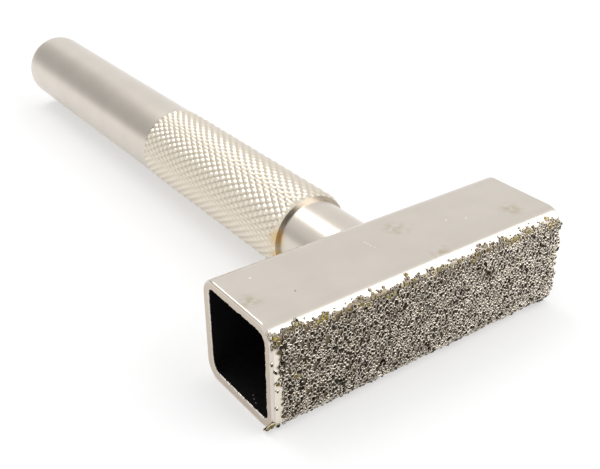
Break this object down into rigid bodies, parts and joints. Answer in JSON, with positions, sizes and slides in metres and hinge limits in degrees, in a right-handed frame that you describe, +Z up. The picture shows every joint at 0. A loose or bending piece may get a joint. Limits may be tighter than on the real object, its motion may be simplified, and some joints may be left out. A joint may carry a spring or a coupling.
{
  "type": "dressing stone",
  "caption": "T-shaped hand dresser: a hollow square head with a diamond-coated front face on a round handle with a knurled grip.",
  "frame": {"origin": "centre of the head's flat underside, which lies on the ground plane", "axes": "+Z up, +X along the square head, -Y the way the coated face looks, +Y along the handle from the head's back wall"},
  "size_m": [0.045, 0.1129, 0.014],
  "materials": {
    "plated_tube_steel": "nickel plated, satin, lightly stained",
    "plated_turned_steel": "nickel plated, turned smooth, grip diamond knurled",
    "diamond_in_nickel": "coarse diamond grit held in electroplated nickel"
  },
  "bodies": {
    "root": {"head_tube": "plated_tube_steel", "handle": "plated_turned_steel", "diamond_coat": "diamond_in_nickel"}
  },
  "joints": []
}
